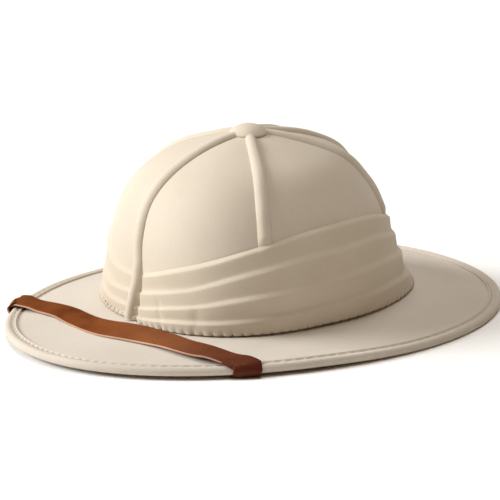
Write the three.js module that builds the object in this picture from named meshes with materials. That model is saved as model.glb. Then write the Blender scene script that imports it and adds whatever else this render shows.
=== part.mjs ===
// Pith helmet: a moulded cloth crown with five raised ribs, a folded band, a wide
// brim with a rolled and stitched binding, a top button and a leather chin strap
// worn up over the front of the brim.
// Millimetres, +Z up, the hat resting on z = 0, its front towards -Y and the
// wearer's left towards +X. "Turn" is the angle round the hat, 0 at the front and
// 90 at the wearer's left. "Climb" is the angle up the dome, 0 at its foot, 90 on top.

import * as THREE from 'three';
import { mergeVertices } from 'three/addons/utils/BufferGeometryUtils.js';

const { degToRad, radToDeg, lerp, smoothstep } = THREE.MathUtils;

// Brim
const brimLength = 350;
const brimWidth = 264;
const brimFrontNarrowing = 0.096;
const brimSquareness = 2.07;
const brimFrontLift = 1;
const rimLiftStart = 13;
const rimLiftEnd = 45;
const brimThickness = 2.6;
const brimSag = 1.12;

// Rolled binding round the brim's edge
const rollRadius = 2.9;
const bindingWidth = 8.6;
const bindingWall = 1.4;
const footWidth = 1.5;

// Crown
const crownFrontReach = 89.8;
const crownBackReach = 109.5;
const crownWidth = 167.6;
const crownFrontSquareness = 2.38;
const crownForward = 2.2;
const crownTop = 123.6;
const crownWall = 3;
const footHeightFront = 12.5;
const footHeightSide = 14;
const footHeightBack = 12.3;
const rearFootFlare = 6.3;
const flareEndClimb = 10;

// Folded band
const bandHeight = 62.2;
const bandTopThickness = 1.4;
const foldLayer = 0.9;
const foldRelief = 1;

// Ribs and button
const ribWidth = 9.2;
const ribTopWidth = 7.2;
const ribHeight = 2.7;
const ribFade = 12;
const sideRibTurn = 64.3;
const rearRibTurn = 142.4;
const buttonDiameter = 25;
const buttonHeight = 5.7;
const buttonRim = 2;

// Chin strap
const strapWidth = 18.5;
const strapThickness = 1.3;
const strapWave = 6;
const strapAnchorRise = 26;

// Clearances
const seatGap = 0.3;
const seatMargin = 0.8;
const endMargin = 0.9;
const insideMargin = 0.6;
const wrapMargin = 0.5;

// Fullness of the dome against a plain quarter ellipse, at even steps of climb.
const sectionStep = 15;
const domeSections = [
  { front: 1, side: 1, back: 1 },
  { front: 1, side: 1.061, back: 0.943 },
  { front: 1.105, side: 1.087, back: 0.975 },
  { front: 1.219, side: 1.138, back: 1.05 },
  { front: 1.255, side: 1.19, back: 1.145 },
  { front: 1.21, side: 0.98, back: 1.08 },
  { front: 1.1, side: 0.9, back: 1.03 },
];

// Upper edge of each fold of the band, as shares of the band's height, at every 30 degrees of
// turn from front to back. The wearer's right mirrors the left, but for its first value.
const folds = [
  { left: [0.498, 0.698, 0.9, 1, 0.982, 0.809, 0.752], rightFront: 0.54 },
  { left: [0.307, 0.469, 0.683, 0.783, 0.77, 0.622, 0.609], rightFront: 0.301 },
  { left: [0.161, 0.281, 0.439, 0.519, 0.513, 0.428, 0.384], rightFront: 0.172 },
  { left: [0.048, 0.135, 0.209, 0.26, 0.264, 0.192, 0.192], rightFront: 0.045 },
];

// Chin strap: the turns at which it crosses the rim, enters the crown and ends inside it,
// and how far it stands off the rim where it goes round it, as a share of the strap's wave.
const strapRight = { crossing: -42.5, opening: -50, anchor: -58, slack: 0.55 };
const strapLeft = { crossing: 63, opening: 59, anchor: 59.5, slack: 0.1 };

// The strap's way over the brim, from the wearer's right to the left. Reach is its share of
// the way from the crown (0) to the roll of the rim (1). Lift is a share of the strap's wave,
// and tip is how much further its front edge rises than its back edge sinks.
const strapOnTop = [
  { turn: -40.4, reach: 0.939, lift: 0.2, tip: 0 },
  { turn: -33.5, reach: 0.622, lift: 0.02, tip: 0 },
  { turn: -28, reach: 0.489, lift: 0.02, tip: 0 },
  { turn: -22.3, reach: 0.396, lift: 0.02, tip: 0 },
  { turn: -14.5, reach: 0.352, lift: 0.05, tip: 0.05 },
  { turn: -6.5, reach: 0.325, lift: 0.1, tip: 0.1 },
  { turn: 0, reach: 0.31, lift: 0.18, tip: 0.18 },
  { turn: 6.5, reach: 0.288, lift: 0.25, tip: 0.25 },
  { turn: 13.5, reach: 0.245, lift: 0.3, tip: 0.25 },
  { turn: 22.5, reach: 0.226, lift: 0.28, tip: 0.2 },
  { turn: 32, reach: 0.261, lift: 0.25, tip: 0.05 },
  { turn: 40, reach: 0.375, lift: 0.28, tip: -0.05 },
  { turn: 48, reach: 0.532, lift: 0.33, tip: 0 },
  { turn: 54.5, reach: 0.715, lift: 0.25, tip: 0 },
  { turn: 60.5, reach: 0.939, lift: 0.08, tip: 0 },
];

// Reaches along its hidden way: round the roll (1 to 2), back under the brim (2 to 3), then
// up inside the crown (3 to 4).
const strapHidden = [1.15, 1.4, 1.65, 1.9, 2, 2.3, 2.6, 2.9, 3, 3.03, 3.06, 3.3, 3.65, 4];

// How far round the roll the strap stands off it, where the full way round is 1.
const slackSpan = 0.62;

// Swell of one fold: how far down the fold, and how much of its relief.
const foldSwell = [
  { down: 0.05, relief: 0.55 },
  { down: 0.18, relief: 1.0 },
  { down: 0.6, relief: 0.72 },
  { down: 0.97, relief: 0.0 },
];

// Fineness of the facets
const crownTurns = 48;
const brimTurns = 64;
const buttonTurns = 24;
const ribSteps = 15;
const strapStepsPerStretch = 2;
const strapShares = [-1, -0.5, 0, 0.5, 1];

const cream = { color: 0xe9dfcf, roughness: 0.92, metalness: 0 };
const creamTape = { color: 0xe0d4c2, roughness: 0.9, metalness: 0 };
const leather = { color: 0x80482a, roughness: 0.55, metalness: 0 };

// Smooth curve between the middle two of four evenly spaced values.
function smoothBetween([a, b, c, d], f) {
  return b + 0.5 * f * (c - a + f * (2 * a - 5 * b + 4 * c - d + f * (3 * (b - c) + d - a)));
}

// Smooth curve through evenly spaced values, eased level at its far end.
function evenCurve(values, position) {
  const last = values.length - 1;
  const at = Math.min(Math.floor(position), last - 1);
  const value = (index) => {
    if (index < 0) return 2 * values[0] - values[1];
    return values[index > last ? last - 1 : index];
  };
  return smoothBetween([at - 1, at, at + 1, at + 2].map(value), position - at);
}

// Smooth closed curve through evenly spaced values round the hat.
function ringCurve(values, turn) {
  const count = values.length;
  const position = (((turn / (2 * Math.PI)) % 1) + 1) * count;
  const at = Math.floor(position);
  const value = (index) => values[index % count];
  return smoothBetween([at - 1, at, at + 1, at + 2].map(value), position - at);
}

// A value round the hat, from its front, side and back values.
function round(turn, { front, side, back }) {
  const end = Math.cos(turn) >= 0 ? front : back;
  return lerp(end, side, Math.sin(turn) ** 2);
}

// Height of the crown's foot, where it stands on the brim.
function footHeight(turn) {
  return round(turn, { front: footHeightFront, side: footHeightSide, back: footHeightBack });
}

// How far a squarer oval reaches past a plain one at a turn.
function squareReach(turn, squareness) {
  const sum = Math.abs(Math.sin(turn)) ** squareness + Math.abs(Math.cos(turn)) ** squareness;
  return sum ** (-1 / squareness);
}

// A point of the dome's outer face. Its front is squarer than a plain oval.
function domePoint(turn, climb) {
  const position = Math.min(Math.max(climb, 0), 90) / sectionStep;
  const [front, side, back] = ['front', 'side', 'back'].map((name) =>
    evenCurve(domeSections.map((section) => section[name]), position));
  const square = Math.cos(turn) >= 0 ? squareReach(turn, crownFrontSquareness) : 1;
  const fullness = square * round(turn, { front, side, back }) * Math.cos(degToRad(climb));
  const reach = Math.cos(turn) >= 0 ? crownFrontReach : crownBackReach;
  const flareShare = (1 - Math.min(Math.max(climb, 0) / flareEndClimb, 1)) ** 2;
  const flare = rearFootFlare * Math.max(-Math.cos(turn), 0) * flareShare;
  return new THREE.Vector3(
    (crownWidth / 2) * fullness * Math.sin(turn),
    -(reach * fullness + flare) * Math.cos(turn) - crownForward,
    lerp(footHeight(turn), crownTop, Math.sin(degToRad(climb))),
  );
}

// Direction in which the dome runs round the head.
function domeSide(turn, climb) {
  const step = 0.01;
  return domePoint(turn + step, climb).sub(domePoint(turn - step, climb)).normalize();
}

// Outward direction of the dome, level at its foot so that walls stand square on the brim.
function domeNormal(turn, climb) {
  if (climb >= 90) return new THREE.Vector3(0, 0, 1);
  const along = domeSide(turn, Math.min(climb, 87));
  const up = domePoint(turn, climb + 1).sub(domePoint(turn, climb - 1));
  const normal = along.cross(up).normalize();
  normal.z *= smoothstep(climb, 0, 14);
  return normal.normalize();
}

// A point that stands off the dome's outer face by the given distance.
function offDome(turn, climb, distance) {
  return domePoint(turn, climb).addScaledVector(domeNormal(turn, climb), distance);
}

// The climb at which the dome has the given height.
function climbAt(turn, height) {
  const rise = (height - footHeight(turn)) / (crownTop - footHeight(turn));
  return radToDeg(Math.asin(Math.min(Math.max(rise, 0), 1)));
}

// Height of the upper edge of a fold; past the last fold, the crown's foot.
function foldHeight(index, turn) {
  if (index === folds.length) return footHeight(turn);
  const { left, rightFront } = folds[index];
  const right = [...left.slice(2, -1).toReversed(), rightFront];
  return footHeight(turn) + bandHeight * ringCurve([...left, ...right], turn);
}

// Thickness of the band at the foot of a fold.
const foldBase = (index) => bandTopThickness + index * foldLayer;
const bandFootThickness = foldBase(folds.length - 1) + foldRelief;

// The brim's outermost line, moved inwards by the given inset.
function rimPoint(turn, inset) {
  const plain = (angle) => {
    const size = squareReach(angle, brimSquareness);
    const width = (brimWidth / 2) * (1 - brimFrontNarrowing * Math.cos(angle));
    return new THREE.Vector2(width * size * Math.sin(angle), (-brimLength / 2) * size * Math.cos(angle));
  };
  const step = 0.01;
  const along = plain(turn + step).sub(plain(turn - step)).normalize();
  const inwards = new THREE.Vector2(-along.y, along.x);
  return plain(turn).addScaledVector(inwards, inset);
}

// The rim rises towards the front, and by what passes under it where the strap crosses.
const rimLiftHeight = strapThickness + seatGap + wrapMargin;

function rimLift(turn) {
  const middle = (strapLeft.crossing + strapRight.crossing) / 2;
  const halfSpan = Math.abs(strapLeft.crossing - strapRight.crossing) / 2;
  const offMiddle = turn - degToRad(middle);
  const away = radToDeg(Math.abs(Math.atan2(Math.sin(offMiddle), Math.cos(offMiddle))));
  const front = brimFrontLift * Math.max(Math.cos(turn), 0) ** 2;
  return front + rimLiftHeight * (1 - smoothstep(away, halfSpan + rimLiftStart, halfSpan + rimLiftEnd));
}

// Middle surface of the brim. The inset is measured inwards from the brim's own edge, which
// lies inside the binding. The surface is level out to the middle of the binding's roll.
const edgeInset = 2;
const rollInset = rollRadius - edgeInset;
const seatOutset = bandFootThickness + seatMargin;

function seatLine(turn, outset) {
  const point = offDome(turn, 0, outset);
  return point.setZ(footHeight(turn) - seatGap - brimThickness / 2);
}

function brimLine(turn) {
  const edge = rimPoint(turn, edgeInset);
  const seat = seatLine(turn, seatOutset);
  return { edge, seat, span: Math.hypot(edge.x - seat.x, edge.y - seat.y) };
}

const rollHeight = (turn) => rollRadius + rimLift(turn);

function brimMiddle(turn, inset) {
  const { edge, seat, span } = brimLine(turn);
  const share = inset / span;
  const climbShare = Math.min(Math.max((inset - rollInset) / (span - rollInset), 0), 1);
  return new THREE.Vector3(
    lerp(edge.x, seat.x, share),
    lerp(edge.y, seat.y, share),
    lerp(rollHeight(turn), seat.z, climbShare ** brimSag),
  );
}

// A closed solid from rows of points: each row is one closed section, and rows follow
// each other round a ring or from one flat end to the other.
function loft(rows, ring) {
  const triangles = [];
  const quad = (a, b, c, d) => triangles.push(a, b, c, a, c, d);
  const count = rows[0].length;
  rows.forEach((row, index) => {
    if (!ring && index === rows.length - 1) return;
    const next = rows[(index + 1) % rows.length];
    row.forEach((point, at) => quad(point, next[at], next[(at + 1) % count], row[(at + 1) % count]));
  });
  if (!ring) {
    triangles.push(...endCap(rows[0], false), ...endCap(rows[rows.length - 1], true));
  }
  return solid(triangles);
}

// Triangles that close a flat end.
function endCap(row, far) {
  const middle = row.reduce((sum, point) => sum.add(point), new THREE.Vector3()).divideScalar(row.length);
  const normal = new THREE.Vector3();
  row.forEach((point, at) => {
    const next = row[(at + 1) % row.length];
    normal.add(point.clone().sub(middle).cross(next.clone().sub(middle)));
  });
  const across = row[1].clone().sub(row[0]).normalize();
  const up = normal.normalize().clone().cross(across);
  const flat = row.map((point) => {
    const offset = point.clone().sub(middle);
    return new THREE.Vector2(offset.dot(across), offset.dot(up));
  });
  return THREE.ShapeUtils.triangulateShape(flat, []).flatMap(([a, b, c]) =>
    (far ? [row[c], row[b], row[a]] : [row[a], row[b], row[c]]));
}

// A geometry with shared corners, no collapsed faces, and its faces pointing out.
function solid(triangles) {
  const loose = new THREE.BufferGeometry().setFromPoints(triangles);
  const merged = mergeVertices(loose, 1e-3);
  const { index, attributes } = merged;
  const corner = (at) => new THREE.Vector3().fromBufferAttribute(attributes.position, at);
  const kept = [];
  let volume = 0;
  for (let at = 0; at < index.count; at += 3) {
    const [a, b, c] = [index.getX(at), index.getX(at + 1), index.getX(at + 2)];
    if (a !== b && b !== c && c !== a) {
      kept.push(a, b, c);
      volume += corner(a).dot(corner(b).cross(corner(c)));
    }
  }
  if (volume < 0) kept.reverse();
  merged.setIndex(kept);
  merged.computeVertexNormals();
  return merged;
}

// Evenly spaced turns round a ring.
const turnsRound = (count) => Array.from({ length: count }, (_, at) => (at / count) * 2 * Math.PI);

// Crown: a hollow dome, open below.
const crownClimbs = [0, 7, 14, 22, 30, 38, 46, 54, 62, 70, 78, 84, 90];

function makeCrown() {
  const rows = turnsRound(crownTurns).map((turn) => [
    ...crownClimbs.map((climb) => offDome(turn, climb, 0)),
    ...crownClimbs.toReversed().map((climb) => offDome(turn, climb, -crownWall)),
  ]);
  return loft(rows, true);
}

// Band: an open ring of overlapping folds, its two ends meeting the front rib. Its inner face
// follows the crown's own facets.
const bandTopLimit = 46;

function makeBand() {
  const leanest = Math.min(...domeSections.slice(0, 3).map(({ front }) => front));
  const endTurn = Math.asin((ribWidth / 2 + seatGap) / (leanest * crownWidth / 2));
  const turns = [endTurn, ...turnsRound(crownTurns).slice(1), 2 * Math.PI - endTurn];
  const rows = turns.map((turn) => {
    const at = (height, thickness) => offDome(turn, climbAt(turn, height), thickness);
    const outer = folds.flatMap((_, index) => {
      const upper = foldHeight(index, turn);
      const lower = foldHeight(index + 1, turn);
      return foldSwell.map(({ down, relief }) =>
        at(lerp(upper, lower, down), foldBase(index) + relief * foldRelief));
    });
    const top = climbAt(turn, foldHeight(0, turn));
    const inner = crownClimbs.filter((climb) => climb < bandTopLimit);
    return [
      offDome(turn, top, bandTopThickness / 2),
      ...outer,
      offDome(turn, 0, foldBase(folds.length - 1)),
      ...inner.map((climb) => offDome(turn, Math.min(climb, top), seatGap)),
    ];
  });
  return loft(rows, false);
}

// Half-round section of a rib, from one side to the other and back under it.
const ribSection = [
  { side: -1, rise: 0 },
  { side: -0.93, rise: 0.45 },
  { side: -0.66, rise: 0.83 },
  { side: -0.25, rise: 1 },
  { side: 0.25, rise: 1 },
  { side: 0.66, rise: 0.83 },
  { side: 0.93, rise: 0.45 },
  { side: 1, rise: 0 },
];

// Climb at which the dome has the given reach from its axis.
function climbAtReach(turn, reach) {
  let [low, high] = [45, 90];
  for (let pass = 0; pass < 30; pass += 1) {
    const middle = (low + high) / 2;
    const point = domePoint(turn, middle);
    const far = Math.hypot(point.x, point.y + crownForward) > reach;
    [low, high] = far ? [middle, high] : [low, middle];
  }
  return low;
}

// One rib: a rounded strip that runs up the dome from the given height to the button.
function makeRib(turn, lowerHeight, standAt) {
  const upper = climbAtReach(turn, buttonDiameter / 2 + endMargin);
  const rows = Array.from({ length: ribSteps + 1 }, (_, step) => {
    const share = step / ribSteps;
    const halfWidth = lerp(ribWidth, ribTopWidth, share ** 4) / 2;
    return ribSection.map(({ side, rise }) => {
      const swing = (side * ribWidth) / crownWidth;
      const lower = climbAt(turn, lowerHeight(turn + swing));
      const climb = lerp(lower, upper, share);
      const stand = lerp(seatGap, standAt(domePoint(turn, climb).z), rise);
      return offDome(turn, climb, stand).addScaledVector(domeSide(turn, climb), side * halfWidth);
    });
  });
  return loft(rows, false);
}

// The front rib also stands proud of the band, whose ends meet it.
function makeFrontRib() {
  const bandTop = foldHeight(0, 0);
  const foot = footHeight(0);
  const stand = (height) => {
    const upBand = Math.min((height - foot) / (bandTop - foot), 1);
    const bandThere = lerp(foldBase(folds.length - 1), bandTopThickness, upBand);
    return ribHeight + bandThere * (1 - smoothstep(height, bandTop, bandTop + ribFade));
  };
  return makeRib(0, () => foot, stand);
}

// The other ribs end at the band's upper edge.
function makeUpperRib(turn) {
  const overBand = (there) => foldHeight(0, there) + endMargin;
  return makeRib(turn, overBand, () => ribHeight);
}

// Top button: a low cap over the meeting point of the ribs.
function makeButton() {
  const radius = buttonDiameter / 2;
  const section = [
    { reach: 0, stand: buttonHeight },
    { reach: 0.4, stand: lerp(buttonHeight, buttonRim, 0.12) },
    { reach: 0.72, stand: lerp(buttonHeight, buttonRim, 0.5) },
    { reach: 0.92, stand: buttonRim },
    { reach: 1, stand: buttonRim * 0.6 },
    { reach: 1, stand: seatGap },
    { reach: 0.5, stand: seatGap },
    { reach: 0, stand: seatGap },
  ];
  const rows = turnsRound(buttonTurns).map((turn) => section.map(({ reach, stand }) => {
    const climb = reach === 0 ? 90 : climbAtReach(turn, reach * radius);
    return offDome(turn, climb, stand);
  }));
  return loft(rows, true);
}

// Brim: a dished ring from the head opening to the edge, level where the crown stands on it.
function makeBrim() {
  const shares = [1, 0.8, 0.6, 0.4, 0.2, 0];
  const rows = turnsRound(brimTurns).map((turn) => {
    const { span } = brimLine(turn);
    const middle = [
      seatLine(turn, -crownWall),
      seatLine(turn, seatOutset),
      ...shares.slice(1).map((share) => brimMiddle(turn, share * span)),
    ];
    const shifted = (rise) => middle.map((point) => point.clone().setZ(point.z + rise));
    return [...shifted(brimThickness / 2), ...shifted(-brimThickness / 2).reverse()];
  });
  return loft(rows, true);
}

// Binding: a tape rolled round the edge, with a second ridge where it is stitched down on
// top and a narrow flat foot, on which the hat rests.
function makeBinding() {
  const onRoll = (angle) => ({
    inset: rollInset - rollRadius * Math.cos(degToRad(angle)),
    rise: rollRadius * Math.sin(degToRad(angle)),
  });
  const slot = brimThickness / 2 + seatGap;
  const inner = bindingWidth - edgeInset;
  const section = [
    onRoll(0), onRoll(35), onRoll(68), onRoll(98), onRoll(130),
    { inset: lerp(rollInset + rollRadius, inner, 0.2), rise: slot + bindingWall * 0.9 },
    { inset: lerp(rollInset + rollRadius, inner, 0.65), rise: slot + bindingWall * 0.9 },
    { inset: inner, rise: slot + bindingWall * 0.35 },
    { inset: inner, rise: slot },
    { inset: -seatGap, rise: slot },
    { inset: -seatGap, rise: -slot },
    { inset: inner * 0.8, rise: -slot },
    { inset: inner * 0.8, rise: -slot - bindingWall / 2 },
    { inset: rollInset + footWidth / 2, foot: true },
    { inset: rollInset - footWidth / 2, foot: true },
    onRoll(-35),
  ];
  const rows = turnsRound(brimTurns).map((turn) => section.map(({ inset, rise, foot }) => {
    const point = brimMiddle(turn, inset);
    return point.setZ(foot ? rimLift(turn) : point.z + rise);
  }));
  return loft(rows, true);
}

// Where the strap's middle surface lies: a point on the section of the hat at a turn. Run is
// measured from the top of the roll, inwards over the brim positive; negative round the roll,
// back under the brim and up inside the crown. Out is a further distance off that surface.
const strapOff = seatGap + strapThickness / 2;
const wrapRadius = rollRadius + strapOff + wrapMargin;
const rollArc = Math.PI * wrapRadius;
const seatDepth = seatOutset + crownWall;
const cornerArc = (Math.PI / 2) * strapOff;

function underLength(turn) {
  return brimLine(turn).span - rollInset + seatDepth;
}

function strapPlace(turn, run, out) {
  const standOver = (distance) => lerp(wrapRadius, brimThickness / 2 + strapOff,
    smoothstep(distance, bindingWidth, bindingWidth * 2));
  if (run > 0) {
    const point = brimMiddle(turn, rollInset + run);
    return point.setZ(point.z + standOver(run) + out);
  }
  if (run > -rollArc) {
    const angle = -run / wrapRadius;
    const size = wrapRadius + out;
    return brimMiddle(turn, rollInset - size * Math.sin(angle)).setZ(rollHeight(turn) + size * Math.cos(angle));
  }
  const under = -run - rollArc;
  const { span } = brimLine(turn);
  if (under < span - rollInset) {
    const point = brimMiddle(turn, rollInset + under);
    return point.setZ(point.z - standOver(under) - out);
  }
  const onSeat = under - (span - rollInset);
  if (onSeat < seatDepth) {
    const point = seatLine(turn, seatOutset - onSeat);
    return point.setZ(point.z - brimThickness / 2 - strapOff - out);
  }
  const angle = Math.min((onSeat - seatDepth) / strapOff, Math.PI / 2);
  const size = strapOff + out;
  const cornerHeight = seatLine(turn, 0).z - brimThickness / 2;
  const up = Math.max(onSeat - seatDepth - cornerArc, 0);
  const height = cornerHeight - size * Math.cos(angle) + up;
  const climb = climbAt(turn, height);
  const depth = crownWall + (size + insideMargin) * Math.sin(angle);
  return offDome(turn, climb, -depth).setZ(height);
}

// Run of a reach on the strap's way at a turn.
function strapRun(turn, reach) {
  const { span } = brimLine(turn);
  const stops = [span - rollInset, 0, -rollArc, -rollArc - underLength(turn)];
  stops.push(stops[3] - cornerArc - strapAnchorRise);
  const leg = Math.min(Math.floor(reach), 3);
  return lerp(stops[leg], stops[leg + 1], reach - leg);
}

// Middle line of the strap's hidden way on one side, from the rim inwards.
function hiddenWay({ crossing, opening, anchor, slack }) {
  return strapHidden.map((reach) => {
    const entering = lerp(crossing, opening, smoothstep(reach, 1.5, 3));
    const turn = reach < 3 ? entering : lerp(opening, anchor, reach - 3);
    const lift = slack * Math.max(Math.sin(Math.min((reach - 1) / slackSpan, 1) * Math.PI), 0);
    return { turn, reach, lift, tip: 0 };
  });
}

// Chin strap: one flat strap from inside the crown at one side to the other.
function makeStrap() {
  const way = [...hiddenWay(strapRight).reverse(), ...strapOnTop, ...hiddenWay(strapLeft)];
  const turnScale = brimWidth / 2;
  const route = new THREE.CatmullRomCurve3(way.map(({ turn, reach }) =>
    new THREE.Vector3(degToRad(turn) * turnScale, strapRun(degToRad(turn), reach), 0)));
  const waves = new THREE.CatmullRomCurve3(way.map(({ lift, tip }, at) => new THREE.Vector3(at, lift, tip)),
    false, 'catmullrom', 0.5);
  const count = (way.length - 1) * strapStepsPerStretch;
  const rows = Array.from({ length: count + 1 }, (_, step) => {
    const share = step / count;
    const at = route.getPoint(share);
    const ahead = route.getTangent(share);
    const { y: lift, z: tip } = waves.getPoint(share);
    const turn = at.x / turnScale;
    const place = (turnShift, runShift, out) => strapPlace(turn + turnShift, at.y + runShift, out);
    const nudge = 0.02;
    const perTurn = place(nudge, 0, 0).sub(place(-nudge, 0, 0)).divideScalar(2 * nudge);
    const perRun = place(0, nudge, 0).sub(place(0, -nudge, 0)).divideScalar(2 * nudge);
    const forward = perTurn.clone().multiplyScalar(ahead.x / turnScale).addScaledVector(perRun, ahead.y);
    const across = perTurn.clone().cross(perRun).cross(forward).setLength(strapWidth / 2);
    const [tt, tr, rr] = [perTurn.dot(perTurn), perTurn.dot(perRun), perRun.dot(perRun)];
    const [at1, ar1] = [across.dot(perTurn), across.dot(perRun)];
    const determinant = tt * rr - tr * tr;
    const turnShift = (at1 * rr - ar1 * tr) / determinant;
    const runShift = (ar1 * tt - at1 * tr) / determinant;
    const face = (shares, half) => shares.map((side) =>
      place(side * turnShift, side * runShift, half + strapWave * (lift + side * tip)));
    return [
      ...face(strapShares, strapThickness / 2),
      ...face(strapShares.toReversed(), -strapThickness / 2),
    ];
  });
  return loft(rows, false);
}

// The helmet, each piece with its own material.
const helmet = new THREE.Group();

function add(name, geometry, look) {
  const mesh = new THREE.Mesh(geometry, new THREE.MeshStandardMaterial(look));
  mesh.name = name;
  helmet.add(mesh);
}

add('crown', makeCrown(), cream);
add('folded_band', makeBand(), cream);
add('front_rib', makeFrontRib(), cream);
add('left_side_rib', makeUpperRib(degToRad(sideRibTurn)), cream);
add('right_side_rib', makeUpperRib(degToRad(-sideRibTurn)), cream);
add('left_rear_rib', makeUpperRib(degToRad(rearRibTurn)), cream);
add('right_rear_rib', makeUpperRib(degToRad(-rearRibTurn)), cream);
add('back_rib', makeUpperRib(Math.PI), cream);
add('top_button', makeButton(), cream);
add('brim', makeBrim(), cream);
add('brim_binding', makeBinding(), creamTape);
add('chin_strap', makeStrap(), leather);

export default helmet;
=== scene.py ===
# %% [markdown]
# # A pith helmet
# This lesson dresses a pith helmet: a hard moulded crown under cream cloth, ribs and a
# button on top, a band of folded cloth, a wide brim with a rolled and stitched edge, and
# a leather chin strap worn over the front of the brim. Solid stand-ins with the right
# sizes come first. Most of them are then replaced by finer pieces with the softness, the
# stitches and the wear of the real thing.

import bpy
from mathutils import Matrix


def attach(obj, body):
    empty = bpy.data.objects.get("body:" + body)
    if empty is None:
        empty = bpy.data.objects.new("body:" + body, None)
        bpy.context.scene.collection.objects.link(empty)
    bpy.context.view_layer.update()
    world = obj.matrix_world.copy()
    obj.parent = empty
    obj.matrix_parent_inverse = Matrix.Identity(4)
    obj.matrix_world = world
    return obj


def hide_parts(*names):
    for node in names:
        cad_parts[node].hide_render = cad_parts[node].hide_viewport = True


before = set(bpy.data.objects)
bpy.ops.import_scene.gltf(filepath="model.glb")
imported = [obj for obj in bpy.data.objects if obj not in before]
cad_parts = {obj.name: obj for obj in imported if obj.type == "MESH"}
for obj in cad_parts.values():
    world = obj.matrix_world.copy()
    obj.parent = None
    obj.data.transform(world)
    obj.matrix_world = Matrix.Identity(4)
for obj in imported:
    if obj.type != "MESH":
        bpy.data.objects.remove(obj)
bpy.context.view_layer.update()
print("solids:", sorted(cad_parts))

# %% [markdown]
# ## Ways of working
# All of the helmet is smooth and soft, so most pieces start as one flat grid whose points
# are then laid along the helmet. The shapes are written in millimetres, as a hatter would
# say them, and become metres only where they enter Blender.

# %% Tools
import math

import bmesh
import bpy
import numpy as np
from mathutils import Matrix, Vector

MM = 0.001
FULL_TURN = 2 * math.pi


def smoothstep(value, low, high):
    share = np.clip((value - low) / (high - low), 0, 1)
    return share * share * (3 - 2 * share)


def mix(a, b, share):
    return a + (b - a) * share


def deselect_all():
    bpy.ops.object.select_all(action="DESELECT")


def make_active(piece):
    deselect_all()
    piece.select_set(True)
    bpy.context.view_layer.objects.active = piece


def read_points(piece):
    flat = np.empty(len(piece.data.vertices) * 3)
    piece.data.vertices.foreach_get("co", flat)
    return flat.reshape(-1, 3)


def write_points(piece, points):
    piece.data.vertices.foreach_set("co", points.ravel())
    piece.data.update()


def lay_grid(name, across, along, place):
    """Adds a flat grid and lays its points where place says, from their shares u and v."""
    deselect_all()
    bpy.ops.mesh.primitive_grid_add(x_subdivisions=across, y_subdivisions=along, size=2)
    piece = bpy.context.object
    piece.name = piece.data.name = name
    u, v = ((read_points(piece)[:, :2] + 1) / 2).T
    write_points(piece, place(u, v) * MM)
    return piece


def close_seams(piece):
    """Joins edges that meet, turns all faces outwards and shades them smooth."""
    make_active(piece)
    bpy.ops.object.mode_set(mode="EDIT")
    bpy.ops.mesh.select_all(action="SELECT")
    bpy.ops.mesh.remove_doubles(threshold=0.01 * MM)
    bpy.ops.mesh.normals_make_consistent(inside=False)
    bpy.ops.object.mode_set(mode="OBJECT")
    bpy.ops.object.shade_smooth()


def finish_piece(piece, material, slot, *nodes):
    """Gives a piece its finish and lets it stand for the solids that are named."""
    piece.data.materials.clear()
    piece.data.materials.append(material)
    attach(piece, "root")
    if nodes:
        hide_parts(*nodes)
    print(piece.name, len(piece.data.polygons), "faces")


# %% [markdown]
# ## The camera
# The photograph was taken from the wearer's front left, a little from above and from far
# away, so the lens is long and the lines hardly converge.

# %% Camera
camera_azimuth = math.radians(55.24)
camera_elevation = math.radians(16.59)
camera_roll = math.radians(-0.12)
camera_distance = 2.6
camera_lens = 282.9
aim_right = -0.9 * MM
aim_up = 41.1 * MM

camera_back = Vector((
    math.sin(camera_azimuth) * math.cos(camera_elevation),
    -math.cos(camera_azimuth) * math.cos(camera_elevation),
    math.sin(camera_elevation),
))
camera_right = Vector((math.cos(camera_azimuth), math.sin(camera_azimuth), 0))
camera_up = camera_back.cross(camera_right)

deselect_all()
bpy.ops.object.camera_add()
camera = bpy.context.object
camera.name = "camera"
camera.data.lens = camera_lens
camera.data.clip_end = 20
upright = Matrix((camera_right, camera_up, camera_back)).transposed()
camera.matrix_world = (
    Matrix.Translation(camera_right * aim_right + camera_up * aim_up + camera_back * camera_distance)
    @ upright.to_4x4() @ Matrix.Rotation(camera_roll, 4, "Z")
)
bpy.context.scene.camera = camera

# %% [markdown]
# ## The crown's shape
# A moulded crown is no plain ellipsoid: it stands nearly upright behind the band, rounds
# over quickly and is almost flat on top. Its outline is given at three places, front, side
# and back, and blended round the head. "Turn" is the angle round the helmet, 0 at the
# front, and "climb" is the angle up the dome, 0 at its foot and 90 degrees on top.

# %% Crown's sizes
crown_front_reach = 89.8
crown_back_reach = 109.5
crown_width = 167.6
crown_front_squareness = 2.38
crown_forward = 2.2
crown_top = 123.6
crown_wall = 3
foot_heights = {"front": 12.5, "side": 14, "back": 12.3}
rear_foot_flare = 6.3
flare_end_climb = 10
fullness_step = 15
fullness = {
    "front": [1, 1, 1.105, 1.219, 1.255, 1.21, 1.1],
    "side": [1, 1.061, 1.087, 1.138, 1.19, 0.98, 0.9],
    "back": [1, 0.943, 0.975, 1.05, 1.145, 1.08, 1.03],
}

# %% [markdown]
# Smooth curves join the values that are given at even steps, up the dome or round the
# helmet, so that nothing kinks where two of them meet. What is known only at the front,
# side and back is blended round.

# %% Curves through given values
def smooth_between(a, b, c, d, f):
    """A smooth curve between the middle two of four evenly spaced values."""
    return b + 0.5 * f * (c - a + f * (2 * a - 5 * b + 4 * c - d + f * (3 * (b - c) + d - a)))


def even_curve(values, position):
    """A smooth curve through evenly spaced values, eased level at its far end."""
    last = len(values) - 1
    at = np.clip(np.floor(position).astype(int), 0, last - 1)
    around = np.array([2 * values[0] - values[1], *values, values[last - 1]])
    return smooth_between(*(around[at + step] for step in range(4)), position - at)


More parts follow.
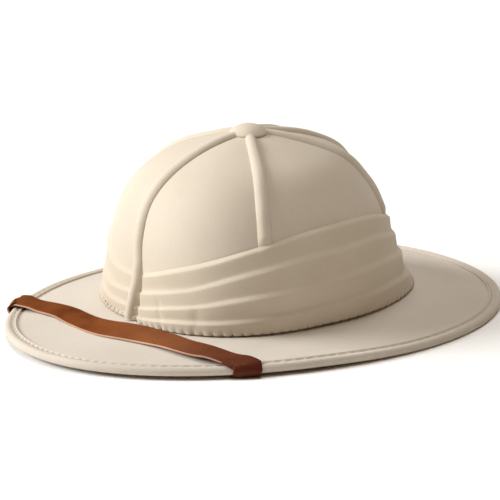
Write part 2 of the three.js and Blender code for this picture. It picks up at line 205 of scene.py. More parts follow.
def ring_curve(values, turn):
    """A smooth closed curve through evenly spaced values round the helmet."""
    values = np.array(values)
    position = turn / FULL_TURN * len(values)
    at = np.floor(position).astype(int)
    around = (values[(at + step) % len(values)] for step in (-1, 0, 1, 2))
    return smooth_between(*around, position - at)


def round_helmet(turn, front, side, back):
    """A value round the helmet, from its front, side and back values."""
    end = np.where(np.cos(turn) >= 0, front, back)
    return mix(end, side, np.sin(turn) ** 2)


def foot_height(turn):
    return round_helmet(turn, **foot_heights)


def square_reach(turn, squareness):
    """How far a squarer oval reaches past a plain one."""
    total = np.abs(np.sin(turn)) ** squareness + np.abs(np.cos(turn)) ** squareness
    return total ** (-1 / squareness)


# %% [markdown]
# A place on the crown is named by its turn and climb. Band, ribs and button are laid at
# some distance off it, along its outward direction, which is level at the foot, so that
# walls stand square on the brim, and upright on top, where the dome has no one slope.

# %% Places on the crown
level_foot_end = 14
upright_start = 84
last_slope = 87


def dome_point(turn, climb):
    position = np.clip(climb, 0, 90) / fullness_step
    shares = {name: even_curve(values, position) for name, values in fullness.items()}
    in_front = np.cos(turn) >= 0
    square = np.where(in_front, square_reach(turn, crown_front_squareness), 1)
    full = square * round_helmet(turn, **shares) * np.cos(np.radians(climb))
    reach = np.where(in_front, crown_front_reach, crown_back_reach)
    flare_share = (1 - np.clip(climb / flare_end_climb, 0, 1)) ** 2
    flare = rear_foot_flare * np.maximum(-np.cos(turn), 0) * flare_share
    return np.stack([
        crown_width / 2 * full * np.sin(turn),
        -(reach * full + flare) * np.cos(turn) - crown_forward,
        mix(foot_height(turn), crown_top, np.sin(np.radians(climb))),
    ], -1)


def dome_side(turn, climb):
    """The direction in which the dome runs round the head."""
    step = 0.01
    along = dome_point(turn + step, climb) - dome_point(turn - step, climb)
    return along / np.linalg.norm(along, axis=-1, keepdims=True)


def dome_normal(turn, climb):
    """The outward direction of the dome."""
    safe_climb = np.minimum(climb, last_slope)
    up = dome_point(turn, safe_climb + 1) - dome_point(turn, safe_climb - 1)
    normal = np.cross(dome_side(turn, safe_climb), up)
    normal /= np.linalg.norm(normal, axis=-1, keepdims=True)
    normal[..., 2] *= smoothstep(climb, 0, level_foot_end)
    on_top = smoothstep(climb, upright_start, 90)[..., None]
    normal = mix(normal, np.array([0.0, 0.0, 1.0]), on_top)
    return normal / np.linalg.norm(normal, axis=-1, keepdims=True)


def off_dome(turn, climb, distance):
    """A point that stands off the dome's outer face by the given distance."""
    return dome_point(turn, climb) + dome_normal(turn, climb) * np.asarray(distance)[..., None]


def climb_at(turn, height):
    """The climb at which the dome has the given height."""
    foot = foot_height(turn)
    return np.degrees(np.arcsin(np.clip((height - foot) / (crown_top - foot), 0, 1)))


def climb_at_reach(turn, reach):
    """The climb at which the dome has the given reach from its axis."""
    low, high = np.full_like(turn, 45.0), np.full_like(turn, 90.0)
    for _ in range(30):
        middle = (low + high) / 2
        point = dome_point(turn, middle)
        far = np.hypot(point[..., 0], point[..., 1] + crown_forward) > reach
        low, high = np.where(far, middle, low), np.where(far, high, middle)
    return low


# %% [markdown]
# ## Cloth
# The helmet is covered in a fine matt cloth with a short nap, like felt. Up close it has a
# grain of fibres, and over a hand's width its cream colour drifts a little, paler where
# the cover is worn and browner where dust has settled. Two noises at those two scales
# make the colour, and the fine one also roughens the surface. A light sheen gives the
# soft glow at grazing angles. The band is handled most and is a little yellower, and the
# brim, which the light has bleached, is greyer.

# %% Cloth finish
patch_scale = 14
grain_share = 0.24


def add_node(nodes, kind, **sockets):
    node = nodes.new(kind)
    for name, value in sockets.items():
        node.inputs[name.replace("_", " ")].default_value = value
    return node


def cloth_finish(name, pale, dusty, grain_scale=950, grain_depth=0.00016):
    material = bpy.data.materials.new(name)
    material.use_nodes = True
    nodes, links = material.node_tree.nodes, material.node_tree.links
    shader = nodes["Principled BSDF"]
    shader.inputs["Roughness"].default_value = 0.92
    shader.inputs["Sheen Weight"].default_value = 0.12
    shader.inputs["Sheen Roughness"].default_value = 0.45
    shader.inputs["Specular IOR Level"].default_value = 0.25
    place = nodes.new("ShaderNodeTexCoord")

    patches = add_node(nodes, "ShaderNodeTexNoise", Scale=patch_scale, Detail=3, Roughness=0.6)
    links.new(place.outputs["Object"], patches.inputs["Vector"])
    colours = nodes.new("ShaderNodeValToRGB")
    colours.color_ramp.elements[0].position = 0.3
    colours.color_ramp.elements[0].color = (*dusty, 1)
    colours.color_ramp.elements[1].position = 0.62
    colours.color_ramp.elements[1].color = (*pale, 1)
    links.new(patches.outputs["Fac"], colours.inputs["Fac"])

    grain = add_node(nodes, "ShaderNodeTexNoise", Scale=grain_scale, Detail=3, Roughness=0.7)
    links.new(place.outputs["Object"], grain.inputs["Vector"])
    fibres = nodes.new("ShaderNodeMix")
    fibres.data_type = "RGBA"
    fibres.blend_type = "MULTIPLY"
    fibres.inputs[0].default_value = grain_share
    links.new(colours.outputs["Color"], fibres.inputs[6])
    links.new(grain.outputs["Color"], fibres.inputs[7])
    links.new(fibres.outputs[2], shader.inputs["Base Color"])

    bump = add_node(nodes, "ShaderNodeBump", Strength=0.5, Distance=grain_depth)
    links.new(grain.outputs["Fac"], bump.inputs["Height"])
    links.new(bump.outputs["Normal"], shader.inputs["Normal"])
    return material


cover_cloth = cloth_finish("cover_cloth", pale=(0.715, 0.625, 0.51), dusty=(0.67, 0.575, 0.46))
band_cloth = cloth_finish("band_cloth", pale=(0.7, 0.605, 0.48), dusty=(0.65, 0.55, 0.425))
brim_cloth = cloth_finish("brim_cloth", pale=(0.71, 0.635, 0.55), dusty=(0.66, 0.58, 0.495))
binding_tape = cloth_finish("binding_tape", pale=(0.70, 0.62, 0.53), dusty=(0.64, 0.56, 0.47),
                            grain_scale=1100, grain_depth=0.0002)
lining_cloth = cloth_finish("lining_cloth", pale=(0.6, 0.52, 0.42), dusty=(0.54, 0.46, 0.37))

# %% [markdown]
# ## Crown
# The crown is one hollow shell. A single grid runs up the outside, over the top and down
# the inside; its two ends lie at the foot, a wall's thickness apart, and are left open. A few slow
# waves of less than half a millimetre keep the cloth from looking machined, and one shallow crease
# runs across the left side, as in the photograph.

# %% Crown
crown_turns = 192
crown_rises = 96
cover_swell = 0.35
crease_rise = 0.22
crease_width = 1.1


def soft_waves(turn, climb):
    """Slow unevenness of the cover, from -1 to 1."""
    slow = np.sin(3 * turn + climb / 19) * np.cos(climb / 13 - 2 * turn)
    quick = np.sin(7 * turn - climb / 9 + 1) * np.cos(climb / 7 + 3 * turn)
    return 0.65 * slow + 0.35 * quick


def crown_place(u, v):
    turn = u * FULL_TURN
    outside = v <= 0.5
    climb = np.where(outside, v, 1 - v) * 180
    away_from_top = np.cos(np.radians(climb)) ** 0.5
    crease_climb = 51 + 3 * np.sin(2 * turn)
    on_left = smoothstep(turn, 1.25, 1.6) * (1 - smoothstep(turn, 2.0, 2.3))
    crease = np.exp(-((climb - crease_climb) / crease_width) ** 2) * on_left
    swell = cover_swell * soft_waves(turn, climb) * away_from_top + crease_rise * crease
    return off_dome(turn, climb, np.where(outside, swell, -crown_wall))


crown = lay_grid("crown_cover", crown_turns, crown_rises, crown_place)
close_seams(crown)
finish_piece(crown, cover_cloth, "cloth", "crown")

# %% [markdown]
# The inside of a helmet is lined with a plainer, darker cloth. The faces of the inner wall
# are picked by their direction, towards the middle of the hollow, and get that finish.

# %% Lining
crown.data.materials.append(lining_cloth)
hollow_middle_height = 50
hollow_middle = Vector((0, -crown_forward, hollow_middle_height)) * MM
for face in crown.data.polygons:
    if face.normal.dot(face.center - hollow_middle) < 0:
        face.material_index = 1

# %% [markdown]
# ## Folded band
# The band is one long cloth, pleated into four folds, each lower one lying over the one
# above. It is low at the front and sweeps up at the sides, and five of the ribs start
# under its upper edge. Each fold's upper edge is given every 30 degrees from front to back
# as a share of the band's height; the right side mirrors the left but for one value.

# %% Band's sizes
band_height = 62.2
band_top_thickness = 1.4
fold_layer = 0.9
top_fold_layer = 1.6
fold_swell = 1.1
foot_fold_lean = 0.5
folds = [
    {"left": [0.498, 0.698, 0.9, 1, 0.982, 0.809, 0.752], "right_front": 0.54},
    {"left": [0.307, 0.469, 0.683, 0.783, 0.77, 0.622, 0.609], "right_front": 0.301},
    {"left": [0.161, 0.281, 0.439, 0.519, 0.513, 0.428, 0.384], "right_front": 0.172},
    {"left": [0.048, 0.135, 0.209, 0.26, 0.264, 0.192, 0.192], "right_front": 0.045},
]
pucker_count = 96
side_rib_turn = 64.3
rear_rib_turn = 142.4
upper_rib_turns = (side_rib_turn, -side_rib_turn, rear_rib_turn, -rear_rib_turn, 180)


def fold_height(index, turn):
    """Height of the upper edge of a fold; past the last fold, the crown's foot."""
    if index == len(folds):
        return foot_height(turn)
    left, right_front = folds[index]["left"], folds[index]["right_front"]
    around = [*left, *left[-2:1:-1], right_front]
    return foot_height(turn) + band_height * ring_curve(around, turn)


def fold_base(index):
    return band_top_thickness + index * fold_layer


band_foot_thickness = fold_base(len(folds) - 1) + 1

# %% [markdown]
# Real pleats are never even. Each fold's edge wanders a little, and its roll is fuller in
# some places than in others. The upper edge of a fold is a soft roll which catches the
# light, and below it the cloth leans in gently, so that it shades without a hard line. The
# lowest fold leans in least, as it is sewn to the brim.

# %% One fold
def fold_edge(index, turn):
    wander = 0.3 * np.sin(5 * turn + 2.1 * index) + 0.2 * np.sin(11 * turn - 1.3 * index)
    return fold_height(index, turn) + wander * (0 < index < len(folds))


def fold_thickness(index, turn, down):
    """How far a fold stands off the crown, from its rolled edge (0) down to the next (1)."""
    fuller = 1 + 0.25 * np.sin(4 * turn + 1.7 * index) + 0.15 * np.sin(9 * turn - index)
    roll = smoothstep(down, -0.06, 0.24)
    lean = foot_fold_lean if index == len(folds) - 1 else 1
    swell = roll * (1 - lean * smoothstep(down, 0.1, 1.1))
    layer = fold_layer if index else top_fold_layer
    return fold_base(index) - layer * (1 - roll) + fold_swell * fuller * swell


# %% [markdown]
# Other marks cross the folds: a slanting crease and a dent where the cloth turns round the
# front, a groove where it ends beside the front rib, and low lifts where it lies over the
# starts of the other ribs. At the foot the stitches pull narrow tucks into the cloth, most
# of all in front of the wearer's left ear, and it puckers between them.

# %% Marks on the band
crease_turn = math.radians(15.5)
dent_turn = math.radians(37)
rib_groove_turn = 0.07
hardest_pull_turn = math.radians(52)
pucker_height = 0.2
crease_depth = 0.45
rib_groove_depth = 3
rib_lift = 0.7


def bump_round(turn, middle, width):
    apart = np.arctan2(np.sin(turn - middle), np.cos(turn - middle))
    return np.exp(-(apart / width) ** 2)


def band_marks(turn, height):
    """What the marks add to the band's thickness."""
    above_foot = height - foot_height(turn)
    slant = math.radians(6) * (1 - above_foot / 25)
    crease = bump_round(turn, crease_turn + slant, 0.024) * (1 - smoothstep(above_foot, 15, 24))
    dent = bump_round(turn, dent_turn, 0.04) * (1 - smoothstep(above_foot, 14, 22))
    rib_groove = bump_round(turn, rib_groove_turn, 0.017)
    puckers = np.cos(pucker_count * turn) * (1 - smoothstep(above_foot, 0.5, 6.5))
    pull = 0.35 + 0.5 * bump_round(turn, hardest_pull_turn, 0.35)
    tuck = np.abs(np.sin(pucker_count * turn / 2)) ** 8 * (1 - smoothstep(above_foot, 0, 4.5))
    marks = pucker_height * puckers - crease_depth * (crease + dent)
    marks -= pull * tuck + rib_groove_depth * rib_groove
    near_top = 1 - smoothstep(fold_height(0, turn) - height, 2, 9)
    for rib_turn in upper_rib_turns:
        marks += rib_lift * bump_round(turn, math.radians(rib_turn), 0.05) * near_top
    return marks + 0.18 * soft_waves(turn, height)


# %% [markdown]
# A grid follows each fold down from its rolled edge, then turns in at the foot and climbs
# back up behind the band, just inside the crown's cover.

# %% Band
band_turns = 720
samples_per_fold = 18
inner_samples = 6
outer_samples = len(folds) * samples_per_fold
band_back = -0.4


def band_place(u, v):
    turn = u * FULL_TURN
    step = np.rint(v * (outer_samples + inner_samples + 1)).astype(int)
    height = np.zeros_like(u)
    thickness = np.zeros_like(u)
    for index in range(len(folds)):
        first = index * samples_per_fold
        here = (step >= first) & (step < first + samples_per_fold)
        down = ((step - first) / samples_per_fold).clip(0, 1) ** 1.4
        height = np.where(here, mix(fold_edge(index, turn), fold_edge(index + 1, turn), down), height)
        thickness = np.where(here, fold_thickness(index, turn, down), thickness)
    thickness += band_marks(turn, height)

    behind = step >= outer_samples
    back_up = np.clip((step - outer_samples) / inner_samples, 0, 1)
    height = np.where(behind, mix(foot_height(turn), fold_height(0, turn) - 0.2, back_up), height)
    return off_dome(turn, climb_at(turn, height), np.where(behind, band_back, thickness))


band = lay_grid("folded_band_cloth", band_turns, outer_samples + inner_samples + 1, band_place)
close_seams(band)
finish_piece(band, band_cloth, "cloth", "folded_band")

# %% [markdown]
# ## Ribs
# A rib is a padded strip of the cover cloth. Its section is a rounded hump with steep
# flanks, drawn down to the crown by the stitching. Each one runs up to the button,
# narrowing a little; five start under the band's upper edge, and the front one runs over
# the band from the foot of the crown, so it stands up by the band's thickness as well.
# The back of a rib's grid lies inside the crown's cover, where it isn't seen.

# %% Rib's shape
rib_width = 9.2
rib_top_width = 7.2
rib_height = 2.7
rib_fade = 12
button_diameter = 25
rib_flank = 1.08
rib_sink = 0.35
rib_back = 1.2
rib_under_button = 2.5


def rib_place(turn, low_height, stand):
    low = float(climb_at(np.array(turn), np.array(low_height)))
    high = float(climb_at_reach(np.array(turn), button_diameter / 2 - rib_under_button))

    def place(u, v):
        on_top = u <= 0.5
        side = np.where(on_top, u * 4 - 1, 3 - u * 4)
        turns, climb = np.full_like(u, turn), mix(low, high, v)
        half = mix(rib_width, rib_top_width, v ** 4) / 2 * rib_flank
        hump = np.clip(1 - np.abs(side) ** 2.6, 0, 1) ** 0.95
        height = dome_point(turns, climb)[..., 2]
        rise = stand(height) * (1 + 0.05 * np.sin(v * 23 + turn)) * hump
        out = np.where(on_top, rise - rib_sink, -rib_back)
        sideways = side * half + 0.18 * np.sin(v * 9 + 2 * turn)
        return off_dome(turns, climb, out) + sideways[..., None] * dome_side(turns, climb)
    return place


def front_stand(height):
    foot = float(foot_height(np.array(0.0)))
    crest = float(fold_height(0, np.array(0.0)))
    up_band = np.clip((height - foot) / (crest - foot), 0, 1)
    over_band = mix(fold_base(len(folds) - 1) + 0.4, band_top_thickness, up_band)
    return rib_height + rib_sink + over_band * (1 - smoothstep(height, crest, crest + rib_fade))


def upper_stand(crest):
    def stand(height):
        return (rib_height + rib_sink) * mix(0.35, 1, smoothstep(height, crest - 1.5, crest + 5))
    return stand


# %% [markdown]
# The ribs differ in their turn and in where they start. Both ends of a rib's grid are
# open, so each is closed with a face; one end lies under the button, the other under the
# band or on the brim.

# %% Ribs
rib_steps = 120
rib_columns = 28


def make_rib(name, turn_degrees, node):
    turn = math.radians(turn_degrees)
    if node == "front_rib":
        place = rib_place(turn, foot_heights["front"] - 0.5, front_stand)
    else:
        crest = float(fold_height(0, np.array(turn)))
        place = rib_place(turn, crest - 3, upper_stand(crest))
    rib = lay_grid(name, rib_columns, rib_steps, place)
    close_seams(rib)
    bpy.ops.object.mode_set(mode="EDIT")
    bpy.ops.mesh.select_all(action="DESELECT")
    bpy.ops.mesh.select_non_manifold()
    bpy.ops.mesh.fill_holes(sides=0)
    bpy.ops.mesh.select_all(action="SELECT")
    bpy.ops.mesh.normals_make_consistent(inside=False)
    bpy.ops.object.mode_set(mode="OBJECT")
    finish_piece(rib, cover_cloth, "cloth", node)


make_rib("front_rib_cloth", 0, "front_rib")
make_rib("left_side_rib_cloth", side_rib_turn, "left_side_rib")
make_rib("right_side_rib_cloth", -side_rib_turn, "right_side_rib")
make_rib("left_rear_rib_cloth", rear_rib_turn, "left_rear_rib")
make_rib("right_rear_rib_cloth", -rear_rib_turn, "right_rear_rib")
make_rib("back_rib_cloth", 180, "back_rib")

# %% [markdown]
# ## Top button
# The button is a low cap, a lens of cork under the same cloth, which hides the ends of the
# ribs. Its grid runs from the middle out to the rim, round it and back underneath, inside
# the crown's cover. The rim rides up a little six times round, over the front, side and back ribs.

# %% Top button
button_height = 5.7
button_rim = 2
button_edge = 0.92
button_round = 1.6
button_back = -0.3
cap_share = 0.8


def button_place(u, v):
    turn = u * FULL_TURN
    above = v <= cap_share
    reach = np.where(above, v / cap_share, (1 - v) / (1 - cap_share))
    dome_share = 1 - np.clip(reach / button_edge, 0, 1) ** 2.3
    rounding = np.clip((reach - button_edge) / (1 - button_edge), 0, 1) ** 2
    over_ribs = 0.2 * np.cos(6 * turn) * reach ** 4
    cap = mix(button_rim, button_height, dome_share) - button_round * rounding + over_ribs
    off_middle = np.maximum(reach, 0.001) * button_diameter / 2
    climb = np.where(reach > 0, climb_at_reach(turn, off_middle), 90)
    return off_dome(turn, climb, np.where(above, cap, button_back))


button = lay_grid("top_button_cap", 96, 40, button_place)
close_seams(button)
finish_piece(button, cover_cloth, "cloth", "top_button")

# %% [markdown]
# ## Brim
# The brim is a dished oval board under cloth. It leaves the crown almost level and bends
# down towards its edge, and its front edge is a little higher than its sides. The edge
# also rises where the strap passes under it, so that the helmet doesn't stand on the strap.

# %% Brim's shape
brim_length = 350
brim_width = 264
brim_front_narrowing = 0.096
brim_squareness = 2.07
brim_front_lift = 1
brim_thickness = 2.6
brim_sag = 1.12
roll_radius = 2.9
edge_inset = 2
roll_inset = roll_radius - edge_inset
seat_gap = 0.3
seat_margin = 0.8
seat_outset = band_foot_thickness + seat_margin
strap_crossings = (math.radians(-42.5), math.radians(63))
rim_lift_height = 2.1
rim_lift_fade = (math.radians(13), math.radians(45))


def rim_point(turn, inset):
    """The brim's outermost line, moved inwards by the given inset."""
    def plain(angle):
        size = square_reach(angle, brim_squareness)
        width = brim_width / 2 * (1 - brim_front_narrowing * np.cos(angle))
        return np.stack([width * size * np.sin(angle), -brim_length / 2 * size * np.cos(angle)], -1)
    step = 0.01
    along = plain(turn + step) - plain(turn - step)
    along /= np.linalg.norm(along, axis=-1, keepdims=True)
    inwards = np.stack([-along[..., 1], along[..., 0]], -1)
    return plain(turn) + inwards * np.asarray(inset)[..., None]


def rim_lift(turn):
    """The rim rises at the front, and where the strap passes under it."""
    middle = sum(strap_crossings) / 2
    half_span = abs(strap_crossings[1] - strap_crossings[0]) / 2
    away = np.abs(np.arctan2(np.sin(turn - middle), np.cos(turn - middle)))
    near = 1 - smoothstep(away, half_span + rim_lift_fade[0], half_span + rim_lift_fade[1])
    return brim_front_lift * np.maximum(np.cos(turn), 0) ** 2 + rim_lift_height * near


def roll_height(turn):
    return roll_radius + rim_lift(turn)


def seat_line(turn, outset):
    """The middle of the board where the crown and the band stand on it."""
    point = off_dome(turn, np.zeros_like(turn), np.broadcast_to(np.asarray(outset, float), turn.shape))
    point[..., 2] = foot_height(turn) - seat_gap - brim_thickness / 2
    return point


def brim_middle(turn, inset):
    """A point of the board's middle surface, and its whole way from edge to seat."""
    edge = rim_point(turn, np.full_like(turn, edge_inset))
    seat = seat_line(turn, seat_outset)
    span = np.hypot(edge[..., 0] - seat[..., 0], edge[..., 1] - seat[..., 1])
    share = inset / span
    rise_share = np.clip((inset - roll_inset) / (span - roll_inset), 0, 1)
    flat = mix(edge, seat[..., :2], share[..., None])
    height = mix(roll_height(turn), seat[..., 2], rise_share ** brim_sag)
    return np.concatenate([flat, height[..., None]], -1), span


# %% [markdown]
# One grid covers the upper face, the inner edge and the lower face. The board ends level
# under the band and the crown. Both faces share a slow unevenness of less than half a
# millimetre.

# %% Brim
brim_turns = 256
brim_rings = 40
slope_end = 0.85
board_swell = 0.45


def board_waves(turn, share):
    """Slow unevenness of the board, from -1 to 1, which fades at its edge and seat."""
    waves = 0.5 * np.sin(3 * turn + 1) + 0.3 * np.sin(7 * turn + 4 * share)
    waves += 0.2 * np.sin(13 * turn - 6 * share)
    return waves * np.sin(math.pi * share)


def brim_place(u, v):
    turn = u * FULL_TURN
    upper = v <= 0.5
    share = np.where(upper, v, 1 - v) * 2
    _, span = brim_middle(turn, np.zeros_like(turn))
    slope_share = np.clip(share / slope_end, 0, 1)
    seat_share = np.clip((share - slope_end) / (1 - slope_end), 0, 1)
    slope, _ = brim_middle(turn, span * slope_share)
    seat = seat_line(turn, mix(seat_outset, -crown_wall, seat_share))
    point = np.where((share <= slope_end)[..., None], slope, seat)
    side = np.where(upper, 1, -1)
    point[..., 2] += side * brim_thickness / 2 + board_swell * board_waves(turn, slope_share)
    return point


brim = lay_grid("brim_cover", brim_turns, 2 * brim_rings, brim_place)
close_seams(brim)
finish_piece(brim, brim_cloth, "cloth", "brim")

# %% [markdown]
# ## Binding
# The edge of the brim is rolled in tape. Outside is a round roll, then a groove where the
# thread pulls the tape down, and then a second, lower ridge. The pull is strongest where
# the thread dives in between two stitches, so roll and ridge bulge a little beside every
# stitch. The helmet rests on the narrow flat foot below the roll.

# %% Binding's shape
binding_width = 8.6
binding_wall = 1.4
foot_width = 1.5
stitch_count = 140
binding_turns = stitch_count * 8
groove_inset = roll_inset + roll_radius + 0.5


def binding_section():
    """Each point's inset and rise, how far the thread pulls it down, and if it is on the foot."""
    slot = brim_thickness / 2
    inner = binding_width - edge_inset
    roll = [
        (roll_inset - roll_radius * math.cos(math.radians(angle)),
         roll_radius * math.sin(math.radians(angle)), 0.1 if angle > 60 else 0.0, False)
        for angle in range(-50, 131, 15)
    ]
    return roll + [
        (groove_inset - 0.7, slot + 0.75, 0.35, False),
        (groove_inset, slot + 0.45, 0.5, False),
        (groove_inset + 0.6, slot + 0.85, 0.35, False),
        (mix(groove_inset, inner, 0.45), slot + binding_wall * 0.95, 0.14, False),
        (mix(groove_inset, inner, 0.72), slot + binding_wall * 1.0, 0.05, False),
        (mix(groove_inset, inner, 0.93), slot + binding_wall * 0.8, 0.0, False),
        (inner + 0.05, slot + binding_wall * 0.4, 0.0, False),
        (inner, slot - 0.3, 0.0, False),
        (inner * 0.8, 0.0, 0.0, False),
        (inner * 0.8, -slot - 0.3, 0.0, False),
        (inner * 0.8, -slot - binding_wall / 2, 0.0, False),
        (roll_inset + foot_width / 2, 0.0, 0.0, True),
        (roll_inset - foot_width / 2, 0.0, 0.0, True),
    ]


section = binding_section()
print("binding section:", len(section), "points")


def binding_place(u, v):
    turn = u * FULL_TURN
    at = np.rint(v * len(section)).astype(int) % len(section)
    inset, rise, pull, on_foot = (np.array([row[column] for row in section])[at] for column in range(4))
    beside_stitch = 0.5 - 0.5 * np.cos(stitch_count * turn)
    point, _ = brim_middle(turn, inset)
    sunk = pull * (1 - beside_stitch) + 0.05 * np.sin(5 * turn) * (pull > 0)
    point[..., 2] = np.where(on_foot, rim_lift(turn), point[..., 2] + rise - sunk)
    return point


binding = lay_grid("binding_roll", binding_turns, len(section), binding_place)
close_seams(binding)
finish_piece(binding, binding_tape, "binding_tape", "brim_binding")

# %% [markdown]
# ## Stitches
# The binding is sewn with a thick thread. One stitch is a short bent bar, thick in the
# middle where it stands up from the cloth and thin at both ends where it dives in. It is
# modelled once and copied to every place.

# %% One stitch
thread_finish = cloth_finish("thread", pale=(0.78, 0.71, 0.61), dusty=(0.7, 0.62, 0.51),
                             grain_scale=2500, grain_depth=0.0003)
# The band's stitches are dark brown as painted shade, for the shade in the tucks where they sit.
band_thread_painted_shade = cloth_finish("band_thread_painted_shade", pale=(0.4, 0.32, 0.24), dusty=(0.3, 0.23, 0.16),
                           grain_scale=2500, grain_depth=0.0003)


def model_stitch(length, thickness):
    deselect_all()
    bpy.ops.mesh.primitive_uv_sphere_add(segments=8, ring_count=6, radius=1)
    stitch = bpy.context.object
    points = read_points(stitch)[:, [2, 1, 0]]
    points *= np.array([length / 2, thickness / 2, thickness / 2])
    bend = thickness * 2.2
    points[:, 2] -= (points[:, 0] / length) ** 2 * bend
    return stitch, points


def sew(name, length, thickness, places, finish):
    """Copies one stitch to every place (point, direction, up) and joins the copies."""
    stitch, points = model_stitch(length, thickness)
    copies = []
    for point, along, up in places:
        across = np.cross(up, along)
        copy = stitch.copy()
        copy.data = stitch.data.copy()
        bpy.context.collection.objects.link(copy)
        write_points(copy, (point + points @ np.array([along, across, up])) * MM)
        copies.append(copy)
    bpy.data.objects.remove(stitch)
    deselect_all()
    for copy in copies:
        copy.select_set(True)
    bpy.context.view_layer.objects.active = copies[0]
    bpy.ops.object.join()
    row = bpy.context.object
    row.name = row.data.name = name
    bpy.ops.object.shade_smooth()
    make_active(row)
    bpy.ops.object.mode_set(mode="EDIT")
    bpy.ops.mesh.select_all(action="SELECT")
    bpy.ops.mesh.normals_make_consistent(inside=False)
    bpy.ops.object.mode_set(mode="OBJECT")
    finish_piece(row, finish, "binding_tape")


# %% [markdown]
# The binding's stitches lie in its groove, one after the other all round the rim. Every
# copy is turned along the groove.

# %% Stitches of the binding
stitch_length = 4.4
stitch_thickness = 1
stitch_rise = 0.75


def binding_stitches():
    places = []
    for index in range(stitch_count):
        turn = np.array([(index + 0.5) / stitch_count * FULL_TURN])
        ahead, _ = brim_middle(turn + 0.01, np.array([groove_inset]))
        point, _ = brim_middle(turn, np.array([groove_inset]))
        along = (ahead - point)[0]
        along /= np.linalg.norm(along)
        up = np.array([0.0, 0.0, 1.0])
        place = point[0] + up * (brim_thickness / 2 + stitch_rise)
        places.append((place, along, np.cross(along, np.cross(up, along))))
    return places


sew("binding_stitches", stitch_length, stitch_thickness, binding_stitches(), thread_finish)

# %% [markdown]
# Smaller stitches hold the band down on the brim. They stand upright, one in every tuck.
# Their dark brown is painted shade, for the shade in the tucks; the thread itself is pale.

# %% Stitches of the band
band_stitch_length = 3
band_stitch_thickness = 0.55
band_stitch_height = 1.4
band_stitch_sink = 0.75


def band_stitches():
    places = []
    for index in range(pucker_count):
        turn = np.array([(index + 0.5) / pucker_count * FULL_TURN])
        height = foot_height(turn) + band_stitch_height
        thickness = np.array([band_foot_thickness - band_stitch_sink])
        low = off_dome(turn, climb_at(turn, height), thickness)[0]
        high = off_dome(turn, climb_at(turn, height + 1), thickness - 0.1)[0]
        along = high - low
        along /= np.linalg.norm(along)
        out = dome_normal(turn, climb_at(turn, height))[0]
        out = out - along * out.dot(along)
        places.append((low, along, out / np.linalg.norm(out)))
    return places


sew("band_stitches", band_stitch_length, band_stitch_thickness, band_stitches(), band_thread_painted_shade)

# %% [markdown]
# ## Leather
# Old leather is uneven in colour. Here it has slow stains in three browns, and it is much
# darker and redder towards its end at the wearer's left.
# Fine pores show in the gloss. The cut edges are raw, so they are pale.

# %% Leather finish
# Between these distances to the wearer's left, the strap turns darker and redder.
left_darkening_start = 0.065
left_darkening_end = 0.115


def leather_finish(name, pale, mid, dark, left_end_colour, roughness):
    material = bpy.data.materials.new(name)
    material.use_nodes = True
    nodes, links = material.node_tree.nodes, material.node_tree.links
    shader = nodes["Principled BSDF"]
    shader.inputs["Specular IOR Level"].default_value = 0.14
    shader.inputs["Coat Weight"].default_value = 0.02
    shader.inputs["Coat Roughness"].default_value = 0.35
    place = nodes.new("ShaderNodeTexCoord")
    stain = add_node(nodes, "ShaderNodeTexNoise", Scale=22, Detail=4, Roughness=0.6)
    links.new(place.outputs["Object"], stain.inputs["Vector"])
    colours = nodes.new("ShaderNodeValToRGB")
    ramp = colours.color_ramp
    ramp.elements[0].position = 0.3
    ramp.elements[0].color = (*dark, 1)
    ramp.elements[1].position = 0.7
    ramp.elements[1].color = (*pale, 1)
    ramp.elements.new(0.5).color = (*mid, 1)
    links.new(stain.outputs["Fac"], colours.inputs["Fac"])
    apart = nodes.new("ShaderNodeSeparateXYZ")
    links.new(place.outputs["Object"], apart.inputs["Vector"])
    towards_left_end = add_node(nodes, "ShaderNodeMapRange", From_Min=left_darkening_start, From_Max=left_darkening_end, To_Max=0.9)
    links.new(apart.outputs["X"], towards_left_end.inputs["Value"])
    darkened = nodes.new("ShaderNodeMix")
    darkened.data_type = "RGBA"
    darkened.inputs[7].default_value = (*left_end_colour, 1)
    links.new(towards_left_end.outputs["Result"], darkened.inputs[0])
    links.new(colours.outputs["Color"], darkened.inputs[6])
    links.new(darkened.outputs[2], shader.inputs["Base Color"])
    pores = add_node(nodes, "ShaderNodeTexVoronoi", Scale=900)
    links.new(place.outputs["Object"], pores.inputs["Vector"])
    gloss = add_node(nodes, "ShaderNodeMapRange", To_Min=roughness - 0.06, To_Max=roughness + 0.08)
    links.new(pores.outputs["Distance"], gloss.inputs["Value"])
    links.new(gloss.outputs["Result"], shader.inputs["Roughness"])
    bump = add_node(nodes, "ShaderNodeBump", Strength=0.35, Distance=0.0001)
    links.new(pores.outputs["Distance"], bump.inputs["Height"])
    links.new(bump.outputs["Normal"], shader.inputs["Normal"])
    return material


strap_leather = leather_finish("strap_leather", pale=(0.235, 0.072, 0.018), mid=(0.18, 0.048, 0.01),
                               dark=(0.11, 0.02, 0.003), left_end_colour=(0.075, 0.009, 0.002), roughness=0.5)
cut_edge = leather_finish("strap_cut_edge", pale=(0.62, 0.4, 0.28), mid=(0.52, 0.31, 0.2),
                          dark=(0.4, 0.22, 0.13), left_end_colour=(0.32, 0.14, 0.09), roughness=0.7)

# %% [markdown]
# ## Chin strap
# The strap is one length of smooth leather. It keeps the solid's way over the brim, so a
# copy of the solid is cleaned up and its faces are joined to four-sided ones.

# %% Copy of the strap's solid
widest_join = math.radians(60)


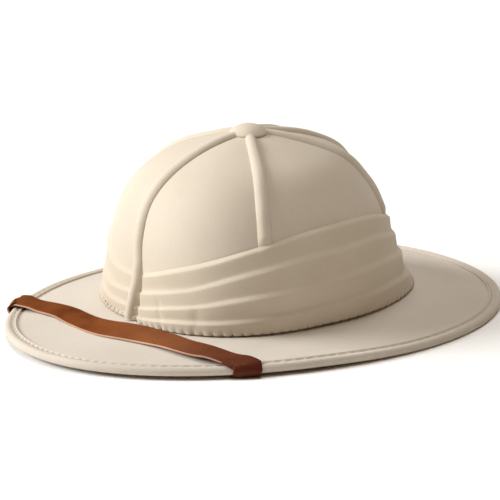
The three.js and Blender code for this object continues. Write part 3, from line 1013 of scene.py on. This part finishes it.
def copy_solid(node, name):
    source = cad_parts[node]
    piece = source.copy()
    piece.data = source.data.copy()
    piece.name = piece.data.name = name
    piece.parent = None
    for key in list(piece.keys()):
        del piece[key]
    bpy.context.collection.objects.link(piece)
    make_active(piece)
    bpy.ops.object.mode_set(mode="EDIT")
    bpy.ops.mesh.select_all(action="SELECT")
    bpy.ops.mesh.remove_doubles(threshold=0.01 * MM)
    bpy.ops.mesh.tris_convert_to_quads(face_threshold=widest_join, shape_threshold=widest_join)
    bpy.ops.object.mode_set(mode="OBJECT")
    return piece


strap = copy_solid("chin_strap", "chin_strap_leather")
strap.data.materials.clear()
strap.data.materials.append(strap_leather)
strap.data.materials.append(cut_edge)

# %% [markdown]
# A face on a cut edge is the only kind that has a sharp corner along both of its long
# sides. Those faces get the pale finish, and the corners a crease, so that they stay crisp
# while the rest is subdivided into a soft band.

# %% Cut edges and softening
sharp_corner = math.radians(60)
corner_crease = 0.55
bpy.ops.object.mode_set(mode="EDIT")
shape = bmesh.from_edit_mesh(strap.data)
for face in shape.faces:
    corners = [edge for edge in face.edges if edge.calc_face_angle(0) > sharp_corner]
    face.select = len(corners) == 2 and not set(corners[0].verts) & set(corners[1].verts)
    face.material_index = 1 if face.select else 0
print("strap faces on the cut edges:", sum(face.select for face in shape.faces), "of", len(shape.faces))
bmesh.update_edit_mesh(strap.data)
bpy.ops.mesh.select_mode(type="FACE")
bpy.ops.mesh.region_to_loop()
bpy.ops.transform.edge_crease(value=corner_crease)
bpy.ops.object.mode_set(mode="OBJECT")
softened = strap.modifiers.new("softened", "SUBSURF")
softened.levels = softened.render_levels = 2
make_active(strap)
bpy.ops.object.modifier_apply(modifier="softened")
bpy.ops.object.shade_smooth()
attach(strap, "root")
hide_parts("chin_strap")
print("strap", len(strap.data.polygons), "faces")

# %% [markdown]
# ## Floor and light
# The helmet stands on a plain pale floor, wide enough to fill the picture.

# %% Floor
deselect_all()
bpy.ops.mesh.primitive_plane_add(size=30)
floor = bpy.context.object
floor.name = "floor"
floor_paint = bpy.data.materials.new("floor_paint")
floor_paint.use_nodes = True
floor_shader = floor_paint.node_tree.nodes["Principled BSDF"]
floor_shader.inputs["Base Color"].default_value = (1, 0.985, 0.96, 1)
floor_shader.inputs["Roughness"].default_value = 0.8
floor.data.materials.append(floor_paint)

# %% [markdown]
# A broad, slightly cool light from the left gives the cloth its soft shading. One from
# straight above lights the brim and the dome's top, and a weak one from behind lifts the
# far edge. The sky is a faint warm glow, which tints the shade.

# %% Lights
world = bpy.data.worlds.new("studio")
bpy.context.scene.world = world
world.use_nodes = True
world.node_tree.nodes["Background"].inputs["Color"].default_value = (1, 0.72, 0.4, 1)
world.node_tree.nodes["Background"].inputs["Strength"].default_value = 0.13

light_distance = 8
level_back = Vector((math.sin(camera_azimuth), -math.cos(camera_azimuth), 0))


def add_light(name, right, up, back, size, power, colour=(1, 1, 1)):
    """Adds a soft round light, to the camera's right, straight up and back to the camera."""
    deselect_all()
    towards = (camera_right * right + Vector((0, 0, up)) + level_back * back).normalized()
    bpy.ops.object.light_add(type="AREA", location=towards * light_distance)
    light = bpy.context.object
    light.name = name
    light.rotation_mode = "QUATERNION"
    light.rotation_quaternion = towards.to_track_quat("Z", "Y")
    light.data.shape = "DISK"
    light.data.size = size
    light.data.energy = power
    light.data.color = colour


add_light("key_light", -0.87, 0.46, 0.06, size=4, power=810, colour=(0.95, 0.98, 1))
add_light("top_light", -0.05, 1.0, -0.05, size=6, power=350)
add_light("rear_light", 0.6, 0.5, -0.7, size=4, power=60)
bpy.context.scene.view_settings.view_transform = "Standard"
